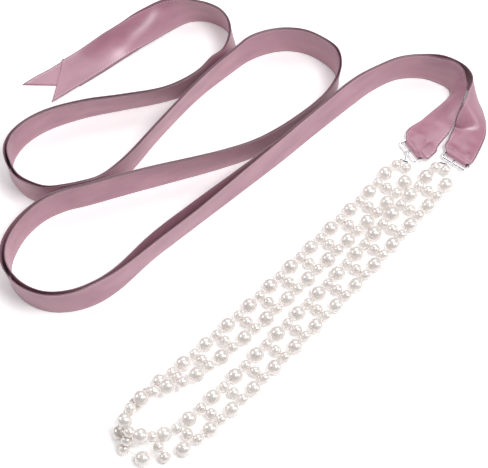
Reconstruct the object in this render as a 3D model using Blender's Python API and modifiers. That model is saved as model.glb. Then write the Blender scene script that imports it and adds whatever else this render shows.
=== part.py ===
"""Bridal sash: a belt of netted pearls with two satin ribbon ties, laid out folded on a table.

The pearl net is folded in half and each of its ends is hooked to a wire ring. A satin ribbon is
folded through each ring and sewn back under itself. The two ribbons run together, standing on
their edges, through a winding path to two tails that lie flat, one on the other.

The tables are in millimetres and degrees, in the plane of the table top. The meshes are in metres,
+Z is up, and the origin is on the table under the middle of the sash.
"""

import math
from typing import NamedTuple

import bmesh
import bpy
from mathutils import Euler, Vector

MM = 0.001

# Driving sizes, in millimetres
RIBBON_WIDTH = 22.0
RIBBON_WALL = 1.0
PIECE_GAP = 0.3
SEAM_TRIM = 0.26
BEND_STEP = 12.0
PEARL = 8.0
SMALL_PEARL = 6.0
ROW_SPACING = 12.0
STATIONS = 29
START_REACH = 9.0
START_SPACING = 6.0
THREAD = 1.1
NET_HEIGHT = PEARL / 2
WIRE = 1.5
HOOK_WIRE = 1.0
END_BAR = 1.8
END_BAR_LENGTH = 4.6
RING_LENGTH = 15.8
RING_DEPTH = 4.5
FLAP_LENGTH = 7.0
LOOP_WIDTH = 13.2
LOOP_TOP_WIDTH = 17.6
LOOP_REACH = 1.6
TABLE_MIDDLE = (2.3, 6.7)

SATIN_COLOUR = (0.47, 0.26, 0.31, 1.0)
PEARL_COLOUR = (0.86, 0.82, 0.78, 1.0)
SILVER_COLOUR = (0.82, 0.83, 0.85, 1.0)


class Pair(NamedTuple):
    """Both ribbons at one place: the middle between their lower edges, and how each leans."""

    stretch: str
    x: float
    y: float
    gap: float
    lean_left: float
    lean_right: float


class Section(NamedTuple):
    """One ribbon at one place. A positive lean tips the upper edge to the left of the way along."""

    stretch: str
    x: float
    y: float
    lean: float
    width: float
    bow: float
    skew: float
    lift: float


class NetPoint(NamedTuple):
    """The middle line of the pearl net, how far its inner edge is raised, and its rows' slant."""

    x: float
    y: float
    roll: float
    skew: float


class Ring(NamedTuple):
    """A wire ring: its middle, the direction of its long side, and the end of the net it holds."""

    name: str
    x: float
    y: float
    turn: float
    net_end: int


# From the crest of the first bend to the start of the tails
PAIR_WAY = (
    Pair("bend_1", 101.7, 111.4, 1.5, 5, 5),
    Pair("", 87.2, 110.8, 1.5, 8, 8),
    Pair("", 73.5, 103.0, 1.5, 6, 6),
    Pair("run_1", 61.3, 92.1, 1.5, 1, 1),
    Pair("", 38.5, 69.1, 1.5, 2, 2),
    Pair("", 16.4, 46.6, 1.6, 4, 3),
    Pair("", -5.6, 25.3, 1.8, 8, 3),
    Pair("", -27.0, 4.7, 2.0, 12, 2),
    Pair("", -47.9, -15.8, 2.0, 12, 2),
    Pair("", -66.9, -37.4, 2.0, 7, 4),
    Pair("bend_2", -77.5, -45.4, 2.2, 6, 5),
    Pair("", -89.4, -49.7, 2.6, 10, 8),
    Pair("", -101.8, -49.6, 2.8, 12, 10),
    Pair("bend_2_middle", -113.2, -43.8, 2.8, 12, 9),
    Pair("", -121.2, -33.2, 2.8, 10, 6),
    Pair("", -123.2, -22.5, 2.8, 6, 2),
    Pair("bend_2_end", -121.4, -12.5, 2.8, 2, -1),
    Pair("", -116.0, -0.6, 2.8, -3, -5),
    Pair("", -107.2, 9.5, 2.0, -6, -7),
    Pair("run_2", -96.1, 16.0, 1.5, -8, -8),
    Pair("", -84.1, 19.9, 1.5, -8, -8),
    Pair("", -60.4, 28.5, 1.5, -8, -8),
    Pair("run_2_end", -12.2, 45.6, 1.5, -14, -14),
    Pair("", 3.4, 52.6, 1.5, -15, -15),
    Pair("", 16.4, 61.3, 1.5, -15, -15),
    Pair("", 28.3, 71.5, 1.5, -15, -15),
    Pair("", 35.6, 78.8, 1.5, -15, -15),
    Pair("bend_3", 42.4, 86.8, 1.5, -14, -14),
    Pair("", 49.4, 96.8, 1.8, -9, -9),
    Pair("", 52.9, 105.8, 2.4, -3, -3),
    Pair("bend_3_middle", 52.2, 115.2, 2.2, 2, 1),
    Pair("", 45.9, 123.3, 1.6, 4, 4),
    Pair("", 35.8, 130.3, 1.5, 6, 6),
    Pair("bend_3_end", 24.2, 132.6, 1.5, 7, 7),
    Pair("", 12.7, 130.3, 1.5, 6, 6),
    Pair("run_3", 1.8, 124.5, 1.5, 5, 5),
    Pair("", -7.5, 115.6, 1.5, 7, 7),
    Pair("", -25.2, 97.2, 1.5, 10, 10),
    Pair("", -48.1, 65.8, 1.5, 11, 11),
    Pair("", -61.7, 44.2, 1.6, 9, 9),
    Pair("", -69.8, 35.0, 1.6, 11, 11),
    Pair("bend_4", -79.4, 26.4, 1.5, 12, 12),
    Pair("", -89.3, 22.7, 1.5, 12, 12),
    Pair("", -97.2, 21.2, 1.6, 13, 13),
    Pair("bend_4_middle", -104.4, 20.6, 1.8, 14, 14),
    Pair("", -111.6, 22.3, 2.2, 13, 12),
    Pair("", -118.4, 26.8, 2.4, 13, 11),
    Pair("", -124.4, 34.4, 2.6, 9, 6),
    Pair("", -127.7, 42.6, 2.8, 4, 2),
    Pair("bend_4_end", -126.9, 51.6, 2.6, 0, -1),
    Pair("", -122.7, 60.5, 2.4, -5, -5),
    Pair("", -115.6, 68.4, 2.2, -9, -9),
    Pair("run_4", -106.0, 74.9, 2.2, -12, -12),
    Pair("", -88.8, 82.2, 2.4, -16, -16),
    Pair("", -67.9, 87.9, 2.4, -20, -20),
    Pair("", -46.9, 93.3, 2.2, -21, -21),
    Pair("", -35.6, 97.7, 1.8, -17, -17),
    Pair("bend_5", -27.2, 103.2, 1.6, -13, -13),
    Pair("", -19.8, 109.2, 1.5, -6, -6),
    Pair("", -12.3, 114.4, 1.5, -2, -2),
    Pair("", -7.2, 122.2, 1.6, 4, 4),
    Pair("", -5.4, 131.0, 1.6, 7, 7),
    Pair("bend_5_middle", -6.1, 140.4, 1.5, 11, 11),
    Pair("", -10.6, 149.2, 1.5, 14, 14),
    Pair("", -19.4, 155.2, 1.5, 15, 15),
    Pair("", -31.2, 155.6, 1.5, 9, 9),
)

# From the ring to the first bend, where each ribbon turns over on its own
LEFT_CLASP_END = (
    Section("clasp_end", 90.0, 68.2, -88, 22.6, 0.0, -30, 3.1),
    Section("", 92.5, 72.8, -86, 22.4, 0.6, -14, 2.2),
    Section("", 98.2, 78.8, -81, 19.8, 1.2, -3, 0.7),
    Section("", 105.2, 86.1, -66, 18.8, 1.0, -1, 0.0),
    Section("twist", 111.0, 91.6, -42, 21.4, 0.6, 0, 0.0),
    Section("", 115.0, 95.6, -30, 22.0, 0.2, 0, 0.0),
    Section("", 116.8, 99.3, -15, 22.0, 0.0, 0, 0.0),
    Section("", 115.6, 103.4, -6, 22.0, 0.0, 0, 0.0),
    Section("", 110.6, 107.2, 1, 22.0, 0.0, 0, 0.0),
)

RIGHT_CLASP_END = (
    Section("clasp_end", 125.7, 46.7, 88, 19.0, 0.0, -14, 3.1),
    Section("", 129.0, 53.7, 87, 18.4, -0.6, -7, 2.2),
    Section("", 131.8, 60.6, 84, 18.5, -1.2, -7, 0.7),
    Section("", 134.3, 67.6, 76, 18.4, -1.4, -1, 0.0),
    Section("twist", 135.3, 75.8, 46, 21.4, -1.0, 0, 0.0),
    Section("", 134.4, 85.4, 29, 22.0, 0.0, 0, 0.0),
    Section("", 132.0, 94.0, 14, 22.0, 0.0, 0, 0.0),
    Section("", 127.6, 101.6, 9, 22.0, 0.0, 0, 0.0),
    Section("", 120.6, 107.9, 8, 22.0, 0.0, 0, 0.0),
    Section("", 111.5, 111.4, 6, 22.0, 0.0, 0, 0.0),
)

# The ribbons fall flat, the left one on the right one, and end in opposite diagonal cuts
TAIL_WAY = (
    Pair("tail_turn", -41.6, 149.3, 1.8, -12, -12),
    Pair("", -51.6, 140.7, 2.4, -34, -34),
    Pair("", -61.3, 132.2, 3.0, -62, -62),
    Pair("tail", -70.8, 124.0, 3.0, -82, -82),
    Pair("", -80.2, 115.7, 2.2, -90, -90),
)
TAIL_BOW = (1.0, 4.2, 5.2, 3.2, 0.8)
TAIL_GAP = 1.5
TAIL_HEADING = -140.0
TAIL_CUT = 25.0
LEFT_TAIL_LENGTH = 36.8
RIGHT_TAIL_LENGTH = 16.5

NET_WAY = (
    NetPoint(107.5, 41.6, 0, 0),
    NetPoint(104.5, 33.2, 0, 0),
    NetPoint(83.5, 5.8, 0, 0),
    NetPoint(52.4, -34.5, 0, 0),
    NetPoint(20.9, -71.7, 0, 0),
    NetPoint(-10.0, -107.9, 2, 6),
    NetPoint(-31.2, -129.6, 14, 24),
    NetPoint(-44.6, -136.6, 44, 18),
    NetPoint(-56.0, -134.6, 66, 6),
    NetPoint(-59.6, -125.6, 76, 0),
    NetPoint(-55.4, -115.2, 74, 0),
    NetPoint(-44.8, -103.4, 52, -6),
    NetPoint(-30.6, -92.6, 22, -6),
    NetPoint(3.5, -57.6, 0, 0),
    NetPoint(37.2, -19.0, 0, 0),
    NetPoint(60.2, 7.7, 0, 0),
    NetPoint(72.2, 21.4, 0, 0),
    NetPoint(82.3, 35.3, 0, 0),
    NetPoint(86.2, 43.4, 0, 0),
)
NET_STRETCHES = (
    ("near_1", 0, 4),
    ("near_2", 4, 8),
    ("near_3", 8, 12),
    ("fold_1", 12, 15),
    ("fold_2", 15, 18),
    ("far_3", 18, 21),
    ("far_2", 21, 25),
    ("far_1", 25, 29),
)

LEFT_RING = Ring("left", 92.1, 55.6, -60.0, 1)
RIGHT_RING = Ring("right", 116.2, 48.8, -40.0, 0)


def clear_scene():
    """Remove the scene's objects and give the collections of parts and cutters."""
    for item in list(bpy.data.objects):
        bpy.data.objects.remove(item, do_unlink=True)
    parts = bpy.data.collections.new("bridal_sash")
    cutters = bpy.data.collections.new("cutters")
    for collection in (parts, cutters):
        bpy.context.scene.collection.children.link(collection)
    return parts, cutters


def principled(name, colour, roughness, metallic=0.0):
    """Make one plain material."""
    material = bpy.data.materials.new(name)
    material.use_nodes = True
    shader = material.node_tree.nodes["Principled BSDF"]
    shader.inputs["Base Color"].default_value = colour
    shader.inputs["Roughness"].default_value = roughness
    shader.inputs["Metallic"].default_value = metallic
    return material


def place(x, y, z):
    """Give a point of the tables, with its height, in metres about the origin."""
    return Vector(((x - TABLE_MIDDLE[0]) * MM, (y - TABLE_MIDDLE[1]) * MM, z * MM))


def curve_through(rows, first):
    """Give a function that runs smoothly through rows of numbers, from column number first on.

    Its argument counts rows, so 2.5 lies half way between the third row and the fourth.
    """
    table = [tuple(float(value) for value in row[first:]) for row in rows]
    last = len(table) - 1

    def spacing(a, b):
        return max(math.hypot(b[0] - a[0], b[1] - a[1]), 1e-6) ** 0.5

    def at(position):
        i = min(max(int(math.floor(position)), 0), last - 1)
        t = position - i
        b, c = table[i], table[i + 1]
        a = table[i - 1] if i > 0 else tuple(2 * p - q for p, q in zip(b, c))
        d = table[i + 2] if i + 2 <= last else tuple(2 * q - p for p, q in zip(b, c))
        da, db, dc = spacing(a, b), spacing(b, c), spacing(c, d)
        out = []
        for va, vb, vc, vd in zip(a, b, c, d):
            m1 = (vc - vb) + db * ((vb - va) / da - (vc - va) / (da + db))
            m2 = (vc - vb) + db * ((vd - vc) / dc - (vd - vb) / (db + dc))
            square, cube = t * t, t * t * t
            out.append((2 * cube - 3 * square + 1) * vb + (cube - 2 * square + t) * m1
                       + (3 * square - 2 * cube) * vc + (cube - square) * m2)
        return out

    return at


def heading_of(at, position):
    """Give the unit direction of a curve at one place."""
    step = 0.02
    x0, y0 = at(position - step)[:2]
    x1, y1 = at(position + step)[:2]
    return Vector((x1 - x0, y1 - y0, 0.0)).normalized()


def tail_rows(side):
    """Continue the pair's way with the straight tail, whose length differs by side."""
    along = math.radians(TAIL_HEADING)
    end = TAIL_WAY[-1]
    length = LEFT_TAIL_LENGTH if side > 0 else RIGHT_TAIL_LENGTH
    rows = list(TAIL_WAY)
    for share in (0.35, 0.7, 1.0):
        x = end.x + length * share * math.cos(along)
        y = end.y + length * share * math.sin(along)
        rows.append(Pair("", x, y, TAIL_GAP, -90, -90))
    return rows


def pair_sections(side):
    """Work out one ribbon's sections from the pair's: side is 1 for the left one, -1 for the right."""
    rows = list(PAIR_WAY) + tail_rows(side)
    at = curve_through(rows, 1)
    bows = [0.0] * len(PAIR_WAY) + list(TAIL_BOW) + [0.0] * 3
    sections = []
    for number, row in enumerate(rows):
        heading = heading_of(at, min(max(number, 0.03), len(rows) - 1.03))
        left = Vector((-heading.y, heading.x, 0.0))
        tilt = math.radians((row.lean_left + row.lean_right) / 2)
        out = side * row.gap / 2
        rest = abs(math.sin(tilt)) * row.gap / 2
        middle = Vector((row.x, row.y, 0.0)) + left * (math.cos(tilt) * out)
        lift = max(0.0, rest - math.sin(tilt) * out)
        lean = row.lean_left if side > 0 else row.lean_right
        width = RIBBON_WIDTH - 8 / 3 * bows[number] ** 2 / RIBBON_WIDTH
        sections.append(Section(row.stretch, middle.x, middle.y, lean, width,
                                bows[number], 0.0, lift))
    return sections


def cut_tail(sections, side):
    """Skew the last sections, so that the end is the diagonal cut."""
    tail = 3
    skews = (0.25, 0.62, 1.0)
    angle = -side * math.degrees(math.atan2(TAIL_CUT, RIBBON_WIDTH))
    done = list(sections)
    for number, share in zip(range(len(done) - tail, len(done)), skews):
        turn = angle * share
        width = RIBBON_WIDTH / math.cos(math.radians(turn))
        done[number] = done[number]._replace(skew=turn, width=width)
    return done


def section_points(row, heading):
    """Give a section's points across the ribbon, lower edge first, and the ribbon's normal there."""
    x, y, lean, width, bow, skew, lift = row
    tilt = math.radians(lean)
    turn = math.radians(skew)
    left = Vector((-heading.y, heading.x, 0.0))
    side = Vector((left.x * math.cos(turn) - left.y * math.sin(turn),
                   left.x * math.sin(turn) + left.y * math.cos(turn), 0.0))
    across = side * math.sin(tilt) + Vector((0.0, 0.0, math.cos(tilt)))
    normal = side * math.cos(tilt) - Vector((0.0, 0.0, math.sin(tilt)))
    ground = lift + abs(math.sin(tilt)) * RIBBON_WALL / 2
    foot = Vector((x, y, ground))
    points = [foot, foot + across * (width / 2) + normal * bow, foot + across * width]
    return [place(p.x, p.y, p.z) for p in points]


def section_places(at, start, end):
    """Choose the places of a stretch's sections: closer where the ribbon bends or turns over."""
    places = []
    position = start
    while position < end:
        upper = min(math.floor(position + 1e-6) + 1.0, end)
        a, b = at(position), at(upper)
        bend = math.degrees(heading_of(at, position + 0.03).angle(heading_of(at, upper - 0.03)))
        turn = abs(b[2] - a[2])
        count = max(1, math.ceil(max(bend, turn) / BEND_STEP))
        places += [position + (upper - position) * i / count for i in range(count)]
        position = upper
    return places + [end]


def ribbon_stretches(rows):
    """Split a ribbon's rows at each named stretch: give the name, the first row and the last."""
    starts = [(row.stretch, number) for number, row in enumerate(rows) if row.stretch]
    ends = [number for _, number in starts[1:]] + [len(rows) - 1]
    return [(name, first, last) for (name, first), last in zip(starts, ends)]


def make_ribbon(name, rows, parts):
    """Make one ribbon, a solid for each stretch, with a small gap between stretches."""
    at = curve_through(rows, 1)
    for stretch, first, last in ribbon_stretches(rows):
        near = 0.05
        trim_in = SEAM_TRIM * near / (Vector(at(first + near)[:2]) - Vector(at(first)[:2])).length
        trim_out = SEAM_TRIM * near / (Vector(at(last)[:2]) - Vector(at(last - near)[:2])).length
        start = first + (trim_in if first else 0.0)
        end = last - (trim_out if last < len(rows) - 1 else 0.0)
        mesh = bpy.data.meshes.new(f"{name}_{stretch}")
        cage = bmesh.new()
        previous = None
        for position in section_places(at, start, end):
            clamped = min(max(position, 0.03), len(rows) - 1.03)
            points = section_points(at(position), heading_of(at, clamped))
            line = [cage.verts.new(point) for point in points]
            if previous:
                for k in range(len(line) - 1):
                    cage.faces.new((previous[k], line[k], line[k + 1], previous[k + 1]))
            previous = line
        cage.to_mesh(mesh)
        cage.free()
        solid = bpy.data.objects.new(f"{name}_{stretch}", mesh)
        parts.objects.link(solid)
        mesh.materials.append(principled(f"satin_{name}_{stretch}", SATIN_COLOUR, 0.38))
        wall = solid.modifiers.new("wall", "SOLIDIFY")
        wall.thickness = RIBBON_WALL * MM
        wall.offset = 0.0
        wall.use_even_offset = True


def make_loop(ring, parts):
    """Make the fold of ribbon round a ring's inner bar, with the flap sewn back beneath."""
    radius = WIRE / 2 + PIECE_GAP + RIBBON_WALL / 2
    height = RIBBON_WALL / 2 + radius
    turn = math.radians(ring.turn)
    long_side = Vector((math.cos(turn), math.sin(turn), 0.0))
    inward = Vector((-math.sin(turn), math.cos(turn), 0.0))
    bar = Vector((ring.x, ring.y, 0.0)) + inward * (RING_DEPTH / 2)
    profile = [(reach, RIBBON_WALL / 2, LOOP_WIDTH) for reach in (FLAP_LENGTH, FLAP_LENGTH / 2)]
    arc_steps = 8
    for i in range(arc_steps + 1):
        angle = math.pi * i / arc_steps
        width = LOOP_WIDTH if i < arc_steps else (LOOP_WIDTH + LOOP_TOP_WIDTH) / 2
        profile.append((-radius * math.sin(angle), height - radius * math.cos(angle), width))
    profile.append((LOOP_REACH, height + radius, LOOP_TOP_WIDTH))
    mesh = bpy.data.meshes.new(f"{ring.name}_ribbon_loop")
    cage = bmesh.new()
    previous = None
    for reach, z, width in profile:
        line = []
        for end in (-0.5, 0.5):
            p = bar + inward * reach + long_side * (width * end)
            line.append(cage.verts.new(place(p.x, p.y, z)))
        if previous:
            cage.faces.new((previous[0], previous[1], line[1], line[0]))
        previous = line
    cage.to_mesh(mesh)
    cage.free()
    solid = bpy.data.objects.new(f"{ring.name}_ribbon_loop", mesh)
    parts.objects.link(solid)
    mesh.materials.append(principled(f"satin_{ring.name}_loop", SATIN_COLOUR, 0.38))
    wall = solid.modifiers.new("wall", "SOLIDIFY")
    wall.thickness = RIBBON_WALL * MM
    wall.offset = 0.0
    wall.use_even_offset = True


def wire_curve(name, points, diameter, collection, cyclic=False):
    """Make a round wire along points, as a curve with filled caps."""
    data = bpy.data.curves.new(name, "CURVE")
    data.dimensions = "3D"
    data.bevel_depth = diameter / 2 * MM
    data.bevel_resolution = 2
    data.use_fill_caps = not cyclic
    spline = data.splines.new("POLY")
    spline.points.add(len(points) - 1)
    for target, point in zip(spline.points, points):
        target.co = (*point, 1.0)
    spline.use_cyclic_u = cyclic
    wire = bpy.data.objects.new(name, data)
    collection.objects.link(wire)
    return wire


def make_ring(ring, parts):
    """Make a rectangular wire ring with round corners, lying level in the ribbon's loop."""
    height = RIBBON_WALL + PIECE_GAP + WIRE / 2
    turn = math.radians(ring.turn)
    long_side = Vector((math.cos(turn), math.sin(turn), 0.0))
    inward = Vector((-math.sin(turn), math.cos(turn), 0.0))
    corner = 1.1
    points = []
    for a, b, start in ((1, 1, 0.0), (-1, 1, 90.0), (-1, -1, 180.0), (1, -1, 270.0)):
        for i in range(4):
            angle = math.radians(start + 30.0 * i)
            u = a * (RING_LENGTH / 2 - corner) + corner * math.cos(angle)
            v = b * (RING_DEPTH / 2 - corner) + corner * math.sin(angle)
            p = Vector((ring.x, ring.y, 0.0)) + long_side * u + inward * v
            points.append(place(p.x, p.y, height))
    wire = wire_curve(f"{ring.name}_ring", points, WIRE, parts, cyclic=True)
    wire.data.materials.append(principled(f"silver_{ring.name}_ring", SILVER_COLOUR, 0.15, 1.0))


def curve_to_mesh(item, collection):
    """Swap a curve for the closed mesh of its surface."""
    evaluated = item.evaluated_get(bpy.context.evaluated_depsgraph_get())
    mesh = bpy.data.meshes.new_from_object(evaluated)
    mesh.name = item.name
    cage = bmesh.new()
    cage.from_mesh(mesh)
    bmesh.ops.remove_doubles(cage, verts=cage.verts, dist=0.01 * MM)
    cage.to_mesh(mesh)
    cage.free()
    name = item.name
    matrix = item.matrix_world.copy()
    bpy.data.objects.remove(item, do_unlink=True)
    solid = bpy.data.objects.new(name, mesh)
    solid.matrix_world = matrix
    collection.objects.link(solid)
    return solid


def fuse(target, cutter, cutters):
    """Join a closed mesh onto another with a Boolean modifier, and keep the joined mesh alone."""
    cutter.hide_render = True
    cutter.display_type = "WIRE"
    union = target.modifiers.new("join", "BOOLEAN")
    union.operation = "UNION"
    union.object = cutter
    union.solver = "EXACT"
    union.use_self = True
    bpy.context.view_layer.update()
    evaluated = target.evaluated_get(bpy.context.evaluated_depsgraph_get())
    mesh = bpy.data.meshes.new_from_object(evaluated)
    target.modifiers.clear()
    target.data = mesh
    mesh.name = target.name
    bpy.data.objects.remove(cutter, do_unlink=True)


def make_hook(ring, at, parts, cutters):
    """Make the hook that the net hangs on: a bent wire on a short bar across the net's end."""
    height = RIBBON_WALL + PIECE_GAP + WIRE / 2
    bend = WIRE / 2 + PIECE_GAP + HOOK_WIRE / 2
    turn = math.radians(ring.turn)
    away = Vector((math.sin(turn), -math.cos(turn), 0.0))
    outer_bar = Vector((ring.x, ring.y, 0.0)) + away * (RING_DEPTH / 2)
    last = len(NET_WAY) - 1
    net_end = Vector((*at(last if ring.net_end else 0)[:2], 0.0))
    heading = heading_of(at, last - 0.03 if ring.net_end else 0.03)
    out = heading if ring.net_end else -heading
    end = net_end + out * (SMALL_PEARL / 2 + PIECE_GAP + END_BAR / 2)
    points = []
    steps = 8
    for i in range(steps + 1):
        angle = math.radians(-60.0 - 210.0 * i / steps)
        p = outer_bar + away * (bend * math.cos(angle))
        points.append(place(p.x, p.y, height + bend * math.sin(angle)))
    knee = outer_bar + away * 1.2
    points.append(place(knee.x, knee.y, height + bend))
    points.append(place(end.x, end.y, NET_HEIGHT))
    shank = curve_to_mesh(wire_curve(f"{ring.name}_hook", points, HOOK_WIRE, parts), parts)
    across = Vector((-out.y, out.x, 0.0))
    ends = [end + across * (END_BAR_LENGTH * share) for share in (-0.5, 0.5)]
    bar_points = [place(p.x, p.y, NET_HEIGHT) for p in ends]
    bar = curve_to_mesh(wire_curve(f"{ring.name}_bar", bar_points, END_BAR, cutters), cutters)
    fuse(shank, bar, cutters)
    shank.data.materials.clear()
    shank.data.materials.append(principled(f"silver_{ring.name}_hook", SILVER_COLOUR, 0.15, 1.0))


def net_frame(at, place_at):
    """Give the net's middle point at one place on its way, and the direction across it."""
    x, y, roll, skew = at(place_at)
    heading = heading_of(at, place_at)
    left = Vector((-heading.y, heading.x, 0.0))
    left.rotate(Euler((0.0, 0.0, math.radians(skew))))
    angle = math.radians(roll)
    across = left * math.cos(angle) + Vector((0.0, 0.0, -math.sin(angle)))
    lift = abs(math.sin(angle)) * ROW_SPACING / 2
    return Vector((x, y, NET_HEIGHT + lift)), across


def even_positions(at, count):
    """Give a function from a station number to its place on the net's way.

    The stations are at equal distances. The first and the last are one start reach from the ends.
    """
    fine = 40
    places = [i / fine for i in range((count - 1) * fine + 1)]
    lengths = [0.0]
    for a, b in zip(places[:-1], places[1:]):
        pa, pb = at(a), at(b)
        lengths.append(lengths[-1] + math.hypot(pb[0] - pa[0], pb[1] - pa[1]))
    pitch = (lengths[-1] - 2 * START_REACH) / (STATIONS - 1)

    def position(station):
        target = START_REACH + pitch * station
        low = max(i for i, value in enumerate(lengths[:-1]) if value <= target)
        share = (target - lengths[low]) / (lengths[low + 1] - lengths[low])
        return places[low] + share / fine

    return position


def add_pearl(cage, centre, diameter):
    """Add one pearl to a mesh."""
    segments = 8 if diameter > SMALL_PEARL else 7
    made = bmesh.ops.create_uvsphere(cage, u_segments=segments, v_segments=5,
                                     radius=diameter / 2 * MM)
    bmesh.ops.translate(cage, verts=made["verts"], vec=place(*centre))


def add_thread(cage, start, end):
    """Add a straight length of stringing thread to a mesh."""
    a, b = place(*start), place(*end)
    length = (b - a).length
    made = bmesh.ops.create_cone(cage, cap_ends=True, segments=4, radius1=THREAD / 2 * MM,
                                 radius2=THREAD / 2 * MM, depth=length)
    turn = Vector((0.0, 0.0, 1.0)).rotation_difference((b - a).normalized())
    bmesh.ops.rotate(cage, verts=made["verts"], matrix=turn.to_matrix())
    bmesh.ops.translate(cage, verts=made["verts"], vec=(a + b) / 2)


def mesh_object(name, cage, collection):
    """Turn a mesh under construction into an object."""
    mesh = bpy.data.meshes.new(name)
    cage.to_mesh(mesh)
    cage.free()
    item = bpy.data.objects.new(name, mesh)
    collection.objects.link(item)
    return item


def start_pearls(at, far):
    """Give the two small pearls by the hook, at the near end of the net or at the far one."""
    place_at = len(NET_WAY) - 1.03 if far else 0.03
    heading = heading_of(at, place_at)
    across = Vector((-heading.y, heading.x, 0.0))
    centre = Vector((*at(len(NET_WAY) - 1 if far else 0)[:2], NET_HEIGHT))
    return [centre + across * (START_SPACING / 2 * side) for side in (-1, 1)]


def make_net(at, parts, cutters):
    """Make the pearl net: pairs of large pearls, rows of three small ones, and the threads."""
    positions = even_positions(at, len(NET_WAY))

    def large(station):
        middle, across = net_frame(at, positions(station))
        return [middle + across * (ROW_SPACING / 2 * side) for side in (-1, 1)]

    def small(station):
        middle, across = net_frame(at, positions(station + 0.5))
        return [middle + across * (ROW_SPACING / 2 * side) for side in (-1, 0, 1)]

    for name, first, last in NET_STRETCHES:
        bodies = []
        threads = []
        for station in range(first, last):
            pair = large(station)
            bodies += [(p, PEARL) for p in pair]
            if station == STATIONS - 1:
                continue
            row = small(station)
            bodies += [(p, SMALL_PEARL - 0.2) for p in row]
            threads += [(pair[0], row[0]), (pair[1], row[2]), (row[0], row[1]), (row[1], row[2])]
            after = large(station + 1)
            for near, far in ((row[0], after[0]), (row[2], after[1])):
                if station == last - 1:
                    way = (far - near).normalized()
                    far = far - way * (PEARL / 2 + PIECE_GAP)
                threads.append((near, far))
        for end_station, far, own in ((0, False, first == 0), (STATIONS - 1, True, last == STATIONS)):
            if own:
                starts = start_pearls(at, far)
                pair = large(end_station)
                bodies += [(p, SMALL_PEARL - 0.2) for p in starts]
                threads += [(starts[0], pair[0]), (starts[1], pair[1]), (starts[0], starts[1])]
        base = bmesh.new()
        add_pearl(base, bodies[0][0], bodies[0][1])
        target = mesh_object(f"net_{name}", base, parts)
        others = bmesh.new()
        for centre, diameter in bodies[1:]:
            add_pearl(others, centre, diameter)
        for start, end in threads:
            add_thread(others, start, end)
        cutter = mesh_object(f"net_{name}_pearls", others, cutters)
        fuse(target, cutter, cutters)
        target.data.materials.clear()
        target.data.materials.append(principled(f"pearl_{name}", PEARL_COLOUR, 0.2))


def main():
    """Build the sash."""
    parts, cutters = clear_scene()
    left_rows = list(LEFT_CLASP_END) + pair_sections(1)
    right_rows = list(RIGHT_CLASP_END) + pair_sections(-1)
    make_ribbon("left_ribbon", cut_tail(left_rows, 1), parts)
    make_ribbon("right_ribbon", cut_tail(right_rows, -1), parts)
    net_way = curve_through(NET_WAY, 0)
    for ring in (LEFT_RING, RIGHT_RING):
        make_loop(ring, parts)
        make_ring(ring, parts)
        make_hook(ring, net_way, parts, cutters)
    make_net(net_way, parts, cutters)


main()
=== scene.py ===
"""Bridal sash laid out on a table: satin ribbon ties, wire rings, hooks and a net of pearls.

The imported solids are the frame. Here the two ribbons become thin satin with woven edges, the net
becomes strung pearls on nylon, and the rings and hooks become drawn wire.

The tables are in millimetres and degrees, in the plane of the table top, as in the solids' source.
Meshes are in metres, +Z is up, and the origin is on the table under the middle of the sash.
"""

import logging
import math
from dataclasses import dataclass
from enum import Enum
from typing import Any, Callable, NamedTuple, Sequence

import bmesh
import bpy
from mathutils import Euler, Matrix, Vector, noise


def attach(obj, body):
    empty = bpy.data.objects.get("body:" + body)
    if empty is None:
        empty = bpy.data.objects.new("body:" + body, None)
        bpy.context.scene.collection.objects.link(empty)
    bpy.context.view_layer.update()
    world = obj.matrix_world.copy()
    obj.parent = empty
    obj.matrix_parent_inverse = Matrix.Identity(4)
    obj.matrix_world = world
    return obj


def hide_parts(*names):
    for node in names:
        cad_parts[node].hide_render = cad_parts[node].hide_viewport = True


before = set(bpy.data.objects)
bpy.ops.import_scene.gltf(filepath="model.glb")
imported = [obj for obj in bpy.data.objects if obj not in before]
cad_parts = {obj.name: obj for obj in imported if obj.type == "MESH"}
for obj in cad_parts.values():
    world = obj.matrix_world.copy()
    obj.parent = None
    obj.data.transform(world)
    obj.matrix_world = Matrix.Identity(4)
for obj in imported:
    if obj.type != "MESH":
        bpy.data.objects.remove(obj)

LOG = logging.getLogger("bridal_sash")
MM = 0.001
TABLE_MIDDLE = (2.3, 6.7)
IMAGE_WIDTH = 488
BODY = "root"
RING_WIRE = 1.5
RING_DEPTH = 4.5
RING_FLOOR_GAP = 1.3
CLEARANCE = 0.3

Curve = Callable[[float], list[float]]


class Side(Enum):
    """The ribbon on the left hand on the way from the rings to the tails, and the right one."""

    LEFT = "left"
    RIGHT = "right"

    @property
    def sign(self) -> int:
        """Give 1 on the left and -1 on the right."""
        return 1 if self is Side.LEFT else -1


class Pearl(Enum):
    """The two sizes of pearl, by diameter in millimetres."""

    LARGE = 8.0
    SMALL = 5.8


class Pair(NamedTuple):
    """Both ribbons at one place: the middle between their lower edges, and how each leans."""

    x: float
    y: float
    gap: float
    lean: float
    lean_right: float | None = None


class Section(NamedTuple):
    """One ribbon at one place. A positive lean tips the upper edge to the left of the way along."""

    x: float
    y: float
    lean: float
    width: float
    bow: float
    skew: float
    lift: float


class NetPoint(NamedTuple):
    """The middle line of the pearl net, how far its inner edge is raised, and its rows' slant."""

    x: float
    y: float
    roll: float
    skew: float


class Ring(NamedTuple):
    """A wire ring: its middle, the direction of its long side, and the end of the net it holds."""

    side: Side
    x: float
    y: float
    turn: float
    net_end: int

    @property
    def middle(self) -> Vector:
        """Give the ring's middle, on the table."""
        return Vector((self.x, self.y, 0.0))

    @property
    def long_side(self) -> Vector:
        """Give the unit direction along the ring."""
        turn = math.radians(self.turn)
        return Vector((math.cos(turn), math.sin(turn), 0.0))

    @property
    def inward(self) -> Vector:
        """Give the unit direction from the net to the ribbon."""
        turn = math.radians(self.turn)
        return Vector((-math.sin(turn), math.cos(turn), 0.0))


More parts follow.
